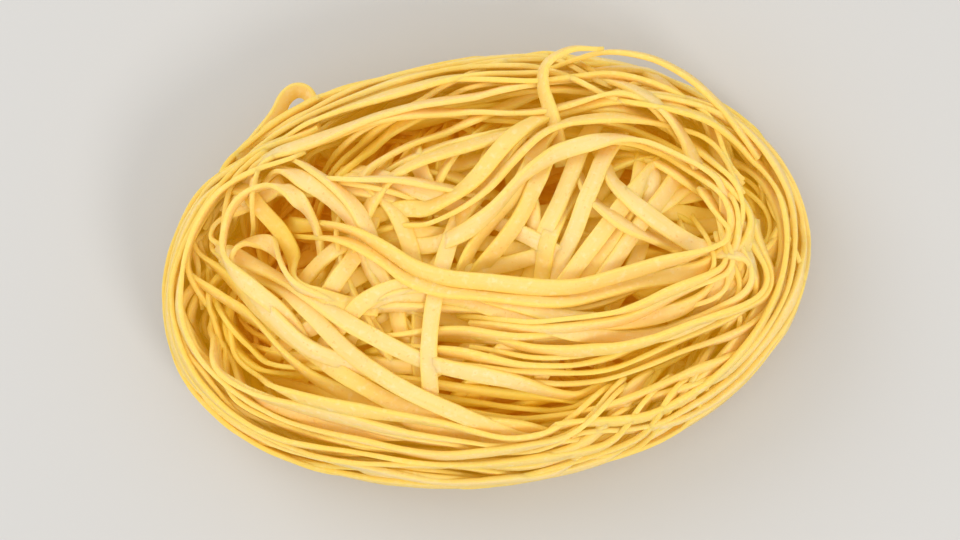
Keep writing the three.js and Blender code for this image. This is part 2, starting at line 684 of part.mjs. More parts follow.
// The stretch of a noodle that shows
function shown(noodle, placed, pile, reach) {
  const open = noodle.points.map((p, i) => {
    const over = pile.top[pile.cell(p.x, p.y)] - p.z;
    const spot = placed.points[i];
    const outside = ovalShare(spot.x, spot.y) > reach.get(sector(spot)) - SIDE_GAP;
    return over < COVER_GAP || (outside && spot.z < SIDE_HEIGHT);
  });
  return trimmed(placed, open.indexOf(true), open.lastIndexOf(true) + 1);
}

function trimmed({ points, across, face }, start, end) {
  const cut = (values) => values.slice(start, end);
  return { points: cut(points), across: cut(across), face: cut(face) };
}

// The noodles, uppermost first, that aren't hidden along others already taken
function spread(noodles) {
  const taken = [];
  for (const noodle of noodles) {
    const beside = noodle.points.filter((p) => taken.some((q) => p.distanceToSquared(q) < CLOSE ** 2));
    const short = (noodle.points.length - 1) * STEP < SHORTEST;
    noodle.built = !short && beside.length < noodle.points.length * MOST_BESIDE;
    if (noodle.built) taken.push(...noodle.points);
  }
  return noodles.filter((noodle) => noodle.built);
}

// Solids

// Step numbers of a noodle's sections: close together where it turns
function sectionsOf({ points, face }) {
  const end = points.length - 1;
  const tangent = (i) => points[i + 1].clone().sub(points[i]);
  const out = [0];
  for (let i = 1; i < end; i += 1) {
    const last = out[out.length - 1];
    const turn = tangent(last).angleTo(tangent(i)) + face[last].angleTo(face[i]);
    if (i - last >= MOST_STEPS || turn > MOST_TURN) out.push(i);
  }
  if (end - out[out.length - 1] < 2) out.pop();
  return [...out, end];
}

// A noodle as a long box, bent to its points
function noodleGeometry(noodle) {
  const sections = sectionsOf(noodle);
  const count = sections.length - 1;
  const geometry = new THREE.BoxGeometry(WIDE, THICK, count, 1, 1, count);
  const position = geometry.attributes.position;
  const corner = new THREE.Vector3();
  for (let k = 0; k < position.count; k += 1) {
    corner.fromBufferAttribute(position, k);
    const i = sections[rounded(corner.z + count / 2)];
    const spot = noodle.points[i].clone();
    spot.addScaledVector(noodle.across[i], corner.x).addScaledVector(noodle.face[i], corner.y);
    position.setXYZ(k, spot.x, spot.y, spot.z);
  }
  return geometry;
}

// The core: a turned shape, drawn out to the nest's oval
function coreGeometry() {
  const share = 1 - CORE_RIM / HALF_SHORT;
  const profile = [new THREE.Vector2(0, 0), new THREE.Vector2(CORE_FOOT, 0)];
  const mid = new THREE.Vector2((CORE_FOOT + share) / 2 + 0.03, WAIST * 0.35);
  profile.push(mid);
  for (let k = 0; k < CORE_RINGS; k += 1) {
    const radius = share * Math.cos((Math.PI / 2) * (k / CORE_RINGS));
    const height = skin(HALF_LONG * (radius / share), 0) - CORE_DEPTH * (k === 0 ? 0 : 1);
    profile.push(new THREE.Vector2(radius, Math.max(height, WAIST)));
  }
  profile.push(new THREE.Vector2(0, skin(0, 0) - CORE_DEPTH));
  const geometry = new THREE.LatheGeometry(profile, CORE_SIDES);
  geometry.rotateX(Math.PI / 2);
  geometry.scale(HALF_LONG, HALF_SHORT, 1);
  geometry.applyMatrix4(new THREE.Matrix4().makeShear(SLANT, 0, 0, 0, 0, 0));
  return geometry;
}

const wasm = await Module();
wasm.setup();

function solid(geometry) {
  const bare = geometry.clone();
  bare.deleteAttribute('normal');
  bare.deleteAttribute('uv');
  const merged = mergeVertices(bare, 1e-4);
  return new wasm.Manifold(new wasm.Mesh({
    numProp: 3,
    vertProperties: new Float32Array(merged.attributes.position.array),
    triVerts: new Uint32Array(merged.index.array),
  }));
}

// The largest closed outer surface: sealed hollows are filled and loose scraps dropped
function outerBody(whole) {
  const bodies = whole.decompose();
  return bodies.reduce((best, body) => (body.volume() > best.volume() ? body : best));
}

function geometryOf(body) {
  const { vertProperties, triVerts } = body.getMesh();
  const geometry = new THREE.BufferGeometry();
  geometry.setAttribute('position', new THREE.BufferAttribute(new Float32Array(vertProperties), 3));
  geometry.setIndex(new THREE.BufferAttribute(new Uint32Array(triVerts), 1));
  geometry.computeVertexNormals();
  return geometry;
}

function nestGeometry() {
  const pile = new Pile();
  const noodles = layAll(pile, seeded(SEED));
  const top = smoothedTop(pile);
  const placed = noodles.map((noodle) => levelled(noodle, top));
  const reach = reachOf(placed);
  const showing = noodles.map((noodle, i) => shown(noodle, placed[i], pile, reach));
  const loose = LOOSE.map(([, path, heights, rolls]) => stand(path, heights, rolls));
  const built = spread([...showing, ...loose].reverse());
  const core = solid(coreGeometry());
  const whole = built.reduce((sum, noodle) => sum.add(solid(noodleGeometry(noodle))), core);
  return geometryOf(outerBody(whole));
}

const pasta = new THREE.MeshStandardMaterial({ color: 0xeccf78, roughness: 0.7, metalness: 0 });
const nest = new THREE.Mesh(nestGeometry(), pasta);
nest.name = 'nest';

const group = new THREE.Group();
group.add(nest);
export default group;
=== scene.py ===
"""A dry pasta nest: flat egg noodles laid one on another, over a small core that nobody sees.

The nest's sizes are in millimetres, as a pasta maker gives them. Meshes are in metres, +Z up.
"""

import math

import bmesh
import bpy
import numpy as np
from mathutils import Matrix, Vector


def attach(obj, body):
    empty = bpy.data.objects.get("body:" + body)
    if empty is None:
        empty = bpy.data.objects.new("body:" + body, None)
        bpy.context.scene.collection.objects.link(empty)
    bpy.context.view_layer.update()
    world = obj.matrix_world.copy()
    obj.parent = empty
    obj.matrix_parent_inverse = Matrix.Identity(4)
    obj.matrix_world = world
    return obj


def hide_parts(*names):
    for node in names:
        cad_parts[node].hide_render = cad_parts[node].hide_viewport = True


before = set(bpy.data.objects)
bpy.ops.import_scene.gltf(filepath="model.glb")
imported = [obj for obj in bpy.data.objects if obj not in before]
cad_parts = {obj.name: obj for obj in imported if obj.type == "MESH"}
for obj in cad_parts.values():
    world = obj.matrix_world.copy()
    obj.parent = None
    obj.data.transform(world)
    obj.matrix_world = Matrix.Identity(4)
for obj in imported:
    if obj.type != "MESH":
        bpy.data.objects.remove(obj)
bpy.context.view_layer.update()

MM = 0.001

# The noodle
WIDE = 2.9
THICK = 0.85

# The nest's outside: a slanting oval, widest at its waist, on a smaller flat foot
HALF_LONG = 58.3
HALF_SHORT = 38.6
SLANT = 0.07
BULGE = 0.035  # how much further the oval reaches in one direction
BULGE_TURN = math.radians(216)
BULGE_SHARP = 8.0
TALL = 39.5
CROWN_OVER = 1.0  # how far the crown's noodles may rise above that
CROWN_ROUND = (1.6, 0.62)  # powers that round the crown
CROWN_DIP = 2.5  # in the middle of the crown
DIP_SPREAD = 0.1
WAIST = 13.0
UNDER_WAIST = WAIST * 1.6  # how far the rounding below the waist would reach
FOOT = 0.82
FLARE = 150  # how steeply the lower edge rises outside the oval
REACH = 0.985  # the share of the oval that the noodles keep within
RIM_STEP = 24  # degrees between places along the oval

# The heap that the noodles which show are laid on
HEAP_DEPTH = 17.0  # below the nest's height
HEAP_RIM = 9.0  # inside the nest's oval
HEAP_ROUND = (1.5, 0.6)
HEAP_DIP = 2.0

# The core inside, hardly seen
CORE_LONG = 49.0
CORE_SHORT = 30.5
CORE_MIDDLE = 7.0
CORE_HALF_TALL = 4.5
CORE_ROUNDS = 5  # how many times its faces are divided

# The map of heights: square cells, and blocks of cells where it is smoothed
CELL = 0.5
SPAN_X = 66.0
SPAN_Y = 50.0
COUNT_X = int(2 * SPAN_X / CELL) + 1
COUNT_Y = int(2 * SPAN_Y / CELL) + 1
BLOCK = 4
BLURS = 10
MARKS_ALONG = (0, 1 / 3, 2 / 3)  # shares of a step at which a noodle raises the map
MARKS_ACROSS = np.linspace(-1, 1, 13)  # the same across it, from edge to edge

# A noodle's path
STEP = 1.5
CURVE_STEPS = 24  # between two places of a route
STIFF = 11  # how many times it is lifted off the hollows that it bridges
END_DEPTH = 5.0  # how far a noodle's ends are tucked in
END_LENGTH = 16.0
END_TURN = 0.09  # how far they are turned in towards the nest's middle
GAP = 0.03  # between noodles
CLEAR = 0.15  # over the floor
NEARING = (0.5, 1.5)  # how the space beside a path changes along it
SWAYS = ((70, 140, 1), (24, 44, 0.3))  # limits of the waves' lengths, and their shares

# A noodle's roll
OUTER = (0.45, 0.95)  # shares of the way out over which a face turns to the nest's side
BENDS = (0.03, 0.085)  # bends in which a noodle gets up on its edge
EDGE_SINE = 0.2  # the sine of the roll from which it gets up on the side it leans to
SIDE_SINES = (0.15, 0.5)  # sines over which its tilt only makes it steeper
TWISTS = ((50, 90, 0.65), (22, 42, 0.35))
PROBE = 1.6  # how far beside the path the slope below is felt
NARROWEST = 0.25  # the least share of that, for a noodle on its edge
LEAN_SHARE = 0.6  # of the slope below
MOST_LEAN = 0.6

# How many times a row of values is smoothed
SLIGHTLY = 3
WELL = 6
FULLY = 10

SHOWN_SEED = 11
INNER_SEED = 5
TONE_SEED = 3


# Numbers

def seeded(seed):
    """A seeded draw between two numbers."""
    state = [seed]

    def draw(low=0.0, high=1.0):
        state[0] = (state[0] + 0x6D2B79F5) & 0xFFFFFFFF
        t = state[0]
        t = ((t ^ (t >> 15)) * (t | 1)) & 0xFFFFFFFF
        t ^= (t + ((t ^ (t >> 7)) * (t | 61))) & 0xFFFFFFFF
        return low + (high - low) * ((t ^ (t >> 14)) & 0xFFFFFFFF) / 4294967296.0

    return draw


def smooth(values, times):
    """Each value replaced by the mean of itself and its neighbours, a number of times."""
    out = np.array(values, float)
    for _ in range(times):
        nxt = out.copy()
        nxt[1:-1] = (out[:-2] + 2 * out[1:-1] + out[2:]) / 4
        out = nxt
    return out


def unit(vectors):
    """Each row scaled to a length of 1."""
    return vectors / np.linalg.norm(vectors, axis=1)[:, None]


def ease(low, high, x):
    """0 up to low, 1 from high, and eased from one to the other."""
    t = np.clip((x - low) / (high - low), 0, 1)
    return t * t * (3 - 2 * t)


# The nest's shape

def bulge(turn):
    """How far the oval reaches in a direction: 1, and more at its bulge."""
    return 1 + BULGE * np.exp(BULGE_SHARP * (np.cos(turn - BULGE_TURN) - 1))


def oval_share(x, y):
    """How far out a place is: 1 on the outline."""
    out, side = x / HALF_LONG, (y - SLANT * x) / HALF_SHORT
    return np.hypot(out, side) / bulge(np.arctan2(side, out))


def skin(x, y):
    """Height of the nest's outside over a place."""
    r2 = np.minimum(oval_share(x, y) ** 2, 1)
    power, root = CROWN_ROUND
    crown = (TALL + CROWN_OVER - WAIST) * (1 - r2 ** power) ** root
    return WAIST + crown - CROWN_DIP * np.exp(-r2 / DIP_SPREAD)


def bowl(x, y):
    """Height of the rounded lower edge over a place."""
    r = oval_share(x, y)
    low = WAIST * (1 - np.sqrt(np.clip((1 - r) / (1 - FOOT), 0, 1)))
    return np.where(r > 1, WAIST + (r - 1) * FLARE, low)


def heap(x, y):
    """Height of the heap of noodles below those that show."""
    r2 = (x / (HALF_LONG - HEAP_RIM)) ** 2 + ((y - SLANT * x) / (HALF_SHORT - HEAP_RIM)) ** 2
    power, root = HEAP_ROUND
    crown = (TALL - HEAP_DEPTH - WAIST) * np.clip(1 - r2 ** power, 0, 1) ** root
    return np.where(r2 < 1, WAIST + crown - HEAP_DIP * np.exp(-r2 / DIP_SPREAD), 0)


def core_top(x, y):
    """Height of the inner core over a place, 0 beside it."""
    r2 = (x / CORE_LONG) ** 2 + ((y - SLANT * x) / CORE_SHORT) ** 2
    return np.where(r2 < 1, CORE_MIDDLE + CORE_HALF_TALL * np.sqrt(np.clip(1 - r2, 0, 1)), 0)


def rim(start, end, share):
    """Places along the oval from one angle to another, in degrees."""
    count = max(2, math.ceil(abs(end - start) / RIM_STEP) + 1)
    places = []
    for i in range(count):
        angle = math.radians(start + (end - start) * i / (count - 1))
        reach = share * bulge(angle)
        x = HALF_LONG * reach * math.cos(angle)
        places.append((x, HALF_SHORT * reach * math.sin(angle) + SLANT * x))
    return places


# The map of heights

PLAN_X = (np.arange(COUNT_X) * CELL - SPAN_X)[:, None]
PLAN_Y = (np.arange(COUNT_Y) * CELL - SPAN_Y)[None, :]


class Pile:
    """Heights over the plan, raised by each noodle that is laid on it."""

    def __init__(self, *floors):
        self.height = bowl(PLAN_X, PLAN_Y)
        for floor in floors:
            self.height = np.maximum(self.height, floor(PLAN_X, PLAN_Y))
        self.top = np.zeros((COUNT_X, COUNT_Y))

    def cell(self, x, y):
        """The cell that a place lies in."""
        i = np.clip(np.floor((x + SPAN_X) / CELL + 0.5).astype(int), 0, COUNT_X - 1)
        j = np.clip(np.floor((y + SPAN_Y) / CELL + 0.5).astype(int), 0, COUNT_Y - 1)
        return i, j

    def at(self, x, y):
        """The height at a place."""
        return self.height[self.cell(x, y)]

    def mark(self, noodle):
        """Raises the heights to a noodle's faces."""
        for part in MARKS_ALONG:
            p, w, n = (a[:-1] * (1 - part) + a[1:] * part for a in noodle)
            for share in MARKS_ACROSS:
                for side in (-1, 1):
                    spot = p + w * (share * WIDE / 2) + n * (side * THICK / 2)
                    cells = self.cell(spot[:, 0], spot[:, 1])
                    np.maximum.at(self.height, cells, spot[:, 2])
                    np.maximum.at(self.top, cells, spot[:, 2])


# Paths on the plan

def lengths(path):
    """How far along a path each of its points is."""
    return np.concatenate([[0], np.cumsum(np.hypot(*(path[1:] - path[:-1]).T))])


def stepped(path):
    """The path in steps of equal length."""
    along = lengths(path)
    count = max(4, math.floor(along[-1] / STEP + 0.5))
    want = np.linspace(0, along[-1], count + 1)
    return np.stack([np.interp(want, along, path[:, axis]) for axis in (0, 1)], 1)


def sides(path):
    """Normals to the left of a path, and how sharply it bends."""
    along = np.gradient(path, axis=0)
    along /= np.hypot(along[:, 0], along[:, 1])[:, None]
    normals = np.stack([-along[:, 1], along[:, 0]], 1)
    bends = (np.gradient(along, axis=0) * normals).sum(1) / STEP
    return normals, smooth(bends, WELL)


def way(places):
    """A smooth path through places: a centripetal Catmull-Rom curve."""
    p = np.array(places, float)
    p = np.vstack([2 * p[0] - p[1], p, 2 * p[-1] - p[-2]])
    t = np.concatenate([[0], np.cumsum(np.sqrt(np.hypot(*(p[1:] - p[:-1]).T)))])

    def mix(i, j, u, a, b):
        return (t[j] - u) / (t[j] - t[i]) * a + (u - t[i]) / (t[j] - t[i]) * b

    parts = []
    for i in range(1, len(p) - 2):
        u = np.linspace(t[i], t[i + 1], CURVE_STEPS, endpoint=False)[:, None]
        a = mix(i - 1, i, u, p[i - 1], p[i])
        b = mix(i, i + 1, u, p[i], p[i + 1])
        c = mix(i + 1, i + 2, u, p[i + 1], p[i + 2])
        parts.append(mix(i, i + 1, u, mix(i - 1, i + 1, u, a, b), mix(i, i + 2, u, b, c)))
    return np.vstack([*parts, p[-2][None]])


def turned_in(path):
    """The path with its ends turned in under the noodles beside it."""
    along = lengths(path)
    ends = (1 - ease(0, END_LENGTH, along)) + (1 - ease(0, END_LENGTH, along[-1] - along))
    return path * (1 - END_TURN * ends)[:, None]


def waves_of(kinds, draw):
    """Waves of drawn lengths: their length, their share and where they start."""
    drawn = [draw(low, high) for low, high, _ in kinds]
    return [(wave, share, draw()) for wave, (_, _, share) in zip(drawn, kinds)]


def beside(path, offset, wander, draw):
    """A path beside another one, nearing or leaving it and wandering slowly from side to side."""
    normals = sides(path)[0]
    along = lengths(path)
    start, end = draw(*NEARING), draw(*NEARING)
    off = offset * (start + (end - start) * along / along[-1])
    for wave, share, phase in waves_of(SWAYS, draw):
        off = off + wander * share * np.sin(2 * math.pi * (along / wave + phase))
    path = path + normals * off[:, None]
    share = oval_share(path[:, 0], path[:, 1])
    return path * np.minimum(1, REACH / share)[:, None]


# Laying a noodle

def skin_roll(x, y, z, normals):
    """Roll that lays a noodle's face against the nest's side; none in the middle of the nest."""
    upper = z >= WAIST
    reach = np.where(upper, TALL - WAIST, UNDER_WAIST)
    sign = np.where(upper, 1.0, -1.0)
    side = y - SLANT * x
    up = np.abs(z - WAIST) / reach ** 2
    out = np.stack([sign * x / HALF_LONG ** 2, sign * side / HALF_SHORT ** 2, up], 1)
    out /= np.linalg.norm(out, axis=1)[:, None] + 1e-12
    part = ease(*OUTER, np.hypot(oval_share(x, y), (z - WAIST) / reach))
    aside = out[:, 0] * normals[:, 0] + out[:, 1] * normals[:, 1]
    return np.arctan2(aside * part, out[:, 2] * part + 1 - part)


def needed(pile, path, normals, rolls):
    """The height at each step that clears what lies below a noodle rolled by rolls."""
    best = np.full(len(path), -np.inf)
    c, s = np.cos(rolls), np.sin(rolls)
    for part in (-1, -0.5, 0, 0.5, 1):
        for side in (-1, 1):
            out = part * WIDE / 2 * c + side * THICK / 2 * s
            up = -part * WIDE / 2 * s + side * THICK / 2 * c
            below = pile.at(path[:, 0] + normals[:, 0] * out, path[:, 1] + normals[:, 1] * out)
            best = np.maximum(best, below - up)
    return best


def drape(need, times):
    """A stiff noodle bridges the hollows below it."""
    z = need.copy()
    for _ in range(times):
        z = np.maximum(smooth(z, 1), need)
    return smooth(z, SLIGHTLY)


def roll_along(pile, path, normals, bends, heights, edged, tilt, twist, draw):
    """The roll along a noodle: on its edge in sharp bends, and leaning with what lies below."""
    rolls = skin_roll(path[:, 0], path[:, 1], heights, normals)
    for i in range(1, len(rolls)):
        rolls[i] += math.pi * math.floor((rolls[i - 1] - rolls[i]) / math.pi + 0.5)
    bend = np.maximum(edged, ease(*BENDS, np.abs(bends)))
    sine = np.sin(rolls)
    edge = np.where(np.abs(sine) > EDGE_SINE, np.sign(sine), np.sign(bends)) * math.pi / 2
    edge = edge + math.pi * np.floor((rolls - edge) / math.pi + 0.5)
    side = ease(*SIDE_SINES, np.abs(sine))
    steeper = tilt * (1 - side) + abs(tilt) * np.sign(sine) * side
    rolls = rolls * (1 - bend) + edge * bend + steeper * (1 - bend)
    along = np.arange(len(path)) * STEP
    for wave, share, phase in waves_of(TWISTS, draw):
        rolls = rolls + twist * share * np.sin(2 * math.pi * (along / wave + phase))
    reach = np.maximum(np.abs(np.cos(rolls)), NARROWEST)
    out = normals * (PROBE * reach)[:, None]
    drop = pile.at(*(path + out).T) - pile.at(*(path - out).T)
    lean = np.arctan(smooth(drop, WELL) / (2 * PROBE * reach)) * np.cos(rolls) ** 2
    return smooth(rolls - LEAN_SHARE * np.clip(lean, -MOST_LEAN, MOST_LEAN), FULLY)


def framed(points, normals, rolls):
    """A noodle: its points, and the directions across it and out of its face."""
    along = unit(np.gradient(points, axis=0))
    s = np.sin(rolls)
    face = np.stack([s * normals[:, 0], s * normals[:, 1], np.cos(rolls)], 1)
    face = unit(face - (face * along).sum(1)[:, None] * along)
    return points, np.cross(face, along), face


def clear_of_floor(level, upright):
    """Lowest height of a noodle's middle at which it clears the floor."""
    return CLEAR + level * (THICK / 2) + upright * (WIDE / 2)


def lay(pile, path, edged, tilt, twist, draw, end_depth=END_DEPTH):
    """Lays one noodle on the pile."""
    steps = stepped(path)
    normals, bends = sides(steps)
    first = drape(needed(pile, steps, normals, np.zeros(len(steps))), STIFF)
    rolls = roll_along(pile, steps, normals, bends, first, edged, tilt, twist, draw)
    z = drape(needed(pile, steps, normals, rolls) + GAP, STIFF)
    along = np.arange(len(steps)) * STEP
    for from_end in (along, along[-1] - along):
        z = z - end_depth * (1 - ease(0, END_LENGTH, from_end))
    z = np.maximum(z, clear_of_floor(np.abs(np.cos(rolls)), np.abs(np.sin(rolls))))
    noodle = framed(np.column_stack([steps, z]), normals, rolls)
    pile.mark(noodle)
    return noodle


def stand(places, heights, first_roll, last_roll):
    """A noodle at given heights: at its start, middle and end."""
    steps = stepped(way(places))
    t = np.linspace(0, 1, len(steps))
    start, middle, end = heights
    z = start * (1 - t) * (1 - 2 * t) + 4 * middle * t * (1 - t) + end * t * (2 * t - 1)
    rolls = first_roll + (last_roll - first_roll) * t
    return framed(np.column_stack([steps, z]), sides(steps)[0], rolls)


# The noodles that show

# How a bundle's noodles lie: spacing, share of standing on edge, tilt, twist and wander
FLAT = (3.1, 0, 0.75, 0.35, 1.7)
LEANING = (2.4, 0, 0.95, 0.4, 1.5)
EDGED = (1.6, 0.8, 0.6, 0.3, 0.9)
STRINGY = (2.1, 0.8, 0.6, 0.3, 0.9)
COILED = (1.7, 0.2, 0.8, 0.25, 0.25)
SINGLE = (3.3, 0, 0.08, 0.1, 0.3)

# How a bundle's noodles differ
JITTER = 0.35  # the most that one is off its place, as a share of the spacing
SHORTER = 0.13  # the most that either end is cut back
TO_LEFT = 0.6  # the share that tilt to the left
TILTS = (0.4, 1.4)

# Rings round the side
SIDE_RINGS = 17
SIDE_TURN = 137.5  # degrees from one ring's start to the next one's
SIDE_SHARES = (0.85, 0.96)
SIDE_SWEEPS = (190, 300)
SIDE_WANDER = 0.8
SIDE_TWIST = 0.2

# Single noodles across the nest
FILL = 52
FILL_SWEEPS = (100, 260)
FILL_REACH = 0.87
FILL_MIDDLE = 0.5  # how far from the nest's middle one may cross it
FILL_TILT = 0.8
FILL_TWIST = 0.3
TRIES = 7  # places tried for each

# Bundles of noodles, lowest first: how they lie, how many, and their route. A route is places on
# the plan, and rim() is a stretch of the oval.
LOWER_BUNDLES = {
    "right_low": (LEANING, 8, [(-34, -22), (-18, -26), (-4, -23), (12, -23), (30, -17),
        *rim(330, 375, 0.8)]),
    "back_rim": (EDGED, 5, rim(15, 215, 0.92)),
    "front_rim": (EDGED, 5, rim(165, 375, 0.92)),
    "right_band": (FLAT, 6, [*rim(170, 190, 0.8), (-38, -13), (-22, -15), (-4, -12), (14, -12),
        (32, -9), *rim(350, 395, 0.8)]),
    "far_right": (FLAT, 7, [*rim(130, 105, 0.78), (-6, 22), (8, 23), (22, 19), (34, 10), (41, -4),
        *rim(335, 305, 0.8)]),
    "cross_band": (LEANING, 4, [*rim(160, 145, 0.84), (-30, 9), (-16, 8.5), (0, 8), (14, 7), (30, 6),
        (40, 4), *rim(0, -20, 0.82)]),
    "high_cross": (FLAT, 3, [*rim(150, 138, 0.84), (-20, 21), (-4, 18), (8, 17.5), (18, 17.5),
        (30, 17), (41, 12), *rim(8, -25, 0.84)]),
    "right_mid": (FLAT, 4, [(-14, 12), (-3, 9), (8, 4.5), (14, 1.5), (21, -1.5), (28, -3), (38, -2),
        *rim(5, 40, 0.84)]),
    "low_cross": (LEANING, 3, [*rim(192, 218, 0.86), (-38, -26.5), (-30, -25.5), (-22, -22.5),
        (-14, -19), (-4, -15), (10, -12), (24, -14), *rim(335, 350, 0.8)]),
    "slip": (FLAT, 3, [(-34, -18), (-24, -12), (-14, -8), (0, -11), (14, -13), (30, -11),
        *rim(350, 375, 0.86)]),
}

UPPER_BUNDLES = {
    "low_rim": (LEANING, 6, rim(222, 335, 0.83)),
    "end_rim": (LEANING, 5, rim(290, 410, 0.83)),
    "high_rim": (LEANING, 5, rim(30, 150, 0.83)),
    "hole_rim": (LEANING, 6, [*rim(150, 172, 0.9), (-51, -4), (-48.5, -11), (-45, -17), (-39.5, -21.5),
        (-33, -23.5), (-24, -24.5), (-10, -26), (6, -28), *rim(300, 335, 0.86)]),
    "left_low": (LEANING, 6, [*rim(140, 200, 0.94), (-50, -20), (-44, -26.5), (-36, -30.5), (-24, -33),
        (-8, -34), *rim(280, 320, 0.92)]),
    "top_left": (LEANING, 6, [*rim(188, 160, 0.92), (-42.3, 19.9), (-36.4, 22.4), (-27.5, 26),
        (-19.4, 28.6), (-9.5, 30.5), (10, 31.5), (24, 30.5), *rim(42, 5, 0.92)]),
    "fan": (FLAT, 5, [(-36, 0), (-30, 6), (-23.5, 12.5), (-17, 19), (-11, 23), (-4, 26.5), (6, 30),
        (18, 32), *rim(48, 20, 0.9)]),
    "small_bend": (LEANING, 2, [*rim(75, 62, 0.82), (20, 21), (22, 16), (23, 12.8), (25, 10),
        (29, 6.5), (38, 3), *rim(355, 325, 0.84)]),
    "upright": (SINGLE, 2, [(8, -15), (11.5, -8), (14.4, 0), (15.9, 4), (17.8, 8.6), (19.7, 13.4),
        (22, 20), *rim(55, 20, 0.86)]),
    "steep": (FLAT, 3, [(-16, -16), (-9, -8.5), (-3, -1.4), (0.5, 3.2), (3.6, 6.6), (6.6, 10.1),
        (9, 14), (11.4, 17.8), (14.3, 20.8), (19, 23), (28, 22.5), (38, 17), *rim(8, -20, 0.85)]),
    "sweep": (FLAT, 3, [(-36, 2), (-24, 3), (-18, 4.5), (-12.6, 5.3), (-6.8, 5.6), (-2, 8.4),
        (2.8, 12.5), (6.6, 16.4), (10, 19.7), (13.4, 22.6), (18.2, 24.8), (26, 25.5), (36, 22.6),
        *rim(22, -10, 0.88)]),
    "eye_over": (LEANING, 3, [*rim(215, 196, 0.92), (-51.5, 0), (-51.3, 5.4), (-50, 9.5), (-47, 12.8),
        (-42.5, 14.9), (-38.2, 15.6), (-32.3, 15.2), (-26.2, 13.8), (-19.7, 13), (-12.9, 12.2),
        (-6.3, 10.5), (4, 8)]),
    "eye_side": (COILED, 2, [*rim(160, 152, 0.84), (-34, 16.5), (-26.6, 13), (-23.2, 10.4), (-19.9, 7),
        (-17.9, 3.2), (-17, -0.5), (-15, -4.5), (-10, -9), (0, -13), (14, -15)]),
    "low_band": (STRINGY, 7, [(-24, -20), (-14, -17), (-2, -16), (10, -17), (22, -16), (34, -11),
        *rim(345, 375, 0.84)]),
    "curved": (SINGLE, 2, [(-38, -26), (-28, -18), (-20.2, -11), (-16.6, -7.6), (-12.3, -5.6),
        (-5.8, -4.8), (-0.5, -5.4), (8, -8), (20, -11), (34, -10), *rim(350, 370, 0.82)]),
    "broad": (FLAT, 4, [*rim(140, 162, 0.92), (-50, 2.5), (-43.5, -1.5), (-36, -6), (-29, -11),
        (-22, -16), (-15, -20), (-7, -24), (6, -28), *rim(292, 325, 0.88)]),
    "post": (SINGLE, 1, [(0.5, 14), (-1, 8), (-2.6, 3), (-3.8, -3), (-4.6, -8), (-5, -13), (-5.4, -19),
        (-6, -25), (-8, -31), (-13, -35)]),
    "mid_long": (LEANING, 2, [*rim(160, 166, 0.8), (-36, 6), (-26, 5), (-18, 3), (-12.3, 0.6),
        (-7.9, -1.8), (-2.2, -4), (4.1, -5.3), (11.3, -6), (21, -6.2), (34, -4), *rim(0, 25, 0.86)]),
    "eye_mid": (COILED, 1, [*rim(200, 176, 0.9), (-45, 12.6), (-40, 12.8), (-36.8, 9.4), (-33.9, 6),
        (-31.5, 2.2), (-28.6, -4.2), (-22, -8), (-12, -10)]),
    "eye_inner": (COILED, 1, [(-14, -12), (-22, -9.5), (-29, -5), (-31, -2), (-33.4, 1.6),
        (-35.5, 3.6), (-38.3, 3.9), (-41.2, 2.6), (-42, -0.5), (-39.5, -4), (-34, -9.5), (-27, -16),
        (-18, -21), (-8, -26)]),
    "bar": (COILED, 1, [(-24, -12), (-27.4, -6), (-27.6, -0.5), (-27.4, 6), (-28.6, 10.4), (-32, 13),
        (-35.5, 13.6), (-39.5, 12.4), (-42.6, 9.2), (-43.8, 5), (-43, 0.5), (-40, -3), (-36.5, -5.8),
        (-33.9, -8.5), (-31.8, -12), (-30.6, -16), (-30.2, -19)]),
    "left_strands": (STRINGY, 5, [*rim(184, 197, 0.9), (-49.5, -14.5), (-45, -20), (-38, -24.5),
        (-29, -27.5), (-18, -29.5), (-5, -31), *rim(280, 318, 0.87)]),
    "top_strands": (LEANING, 4, [*rim(160, 140, 0.88), (-31, 23), (-22, 26), (-12, 28.5), (-2, 30),
        (10, 31), *rim(62, 20, 0.9)]),
    "band_strands": (STRINGY, 4, [(-2, -13.5), (6, -14), (14, -14.5), (26, -13), (36, -9),
        *rim(350, 370, 0.86)]),
    "end_over": (EDGED, 4, rim(-75, 75, 0.95)),
    "back_over": (EDGED, 4, rim(50, 168, 0.92)),
    "front_over": (EDGED, 5, rim(118, 318, 0.93)),
}

# Noodles that stand off the nest: route, heights at start, middle and end, and rolls at start and end
LOOSE = {
    "stray_loop": ([(-30, 21), (-31.2, 26), (-31.3, 30), (-32.4, 32.4), (-34.4, 33.2), (-36.2, 31.8),
        (-37.8, 28.4), (-40.4, 24.6), (-44, 19)], (18, 13, 18), 0.8, 0.8),
    "loose_end": ([(16, 16), (14.5, 24), (12.5, 30), (13, 34), (17, 36.6), (22, 37)],
        (33, 33, 28), 0.4, 1.4),
    "thin_arc": ([(12, 34), (22, 37), (30, 36), (37, 32.5), (43, 27), (49, 19)],
        (24, 24, 20), 1.4, 1.2),
}


def chord(draw):
    """A route from one side of the nest to the other."""
    start = draw(0, 360)
    end = start + draw(*FILL_SWEEPS)
    across = rim(draw(0, 360), 0, draw(0, FILL_MIDDLE))[0]
    return way([rim(start, 0, FILL_REACH)[0], across, rim(end, 0, FILL_REACH)[0]])


def lay_rings(pile, draw):
    """The rings of the side."""
    noodles = []
    for i in range(SIDE_RINGS):
        share = draw(*SIDE_SHARES)
        start = i * SIDE_TURN
        ring = way(rim(start, start + draw(*SIDE_SWEEPS) * (1 if i % 2 else -1), share))
        path = turned_in(beside(ring, 0, SIDE_WANDER, draw))
        noodles.append(lay(pile, path, 0, 0, SIDE_TWIST, draw))
    return noodles


# Hollows that stay open: place and radius
HOLLOWS = [(-40, -11, 4.5), (13.4, 14.4, 3.5), (-36, 5, 9)]


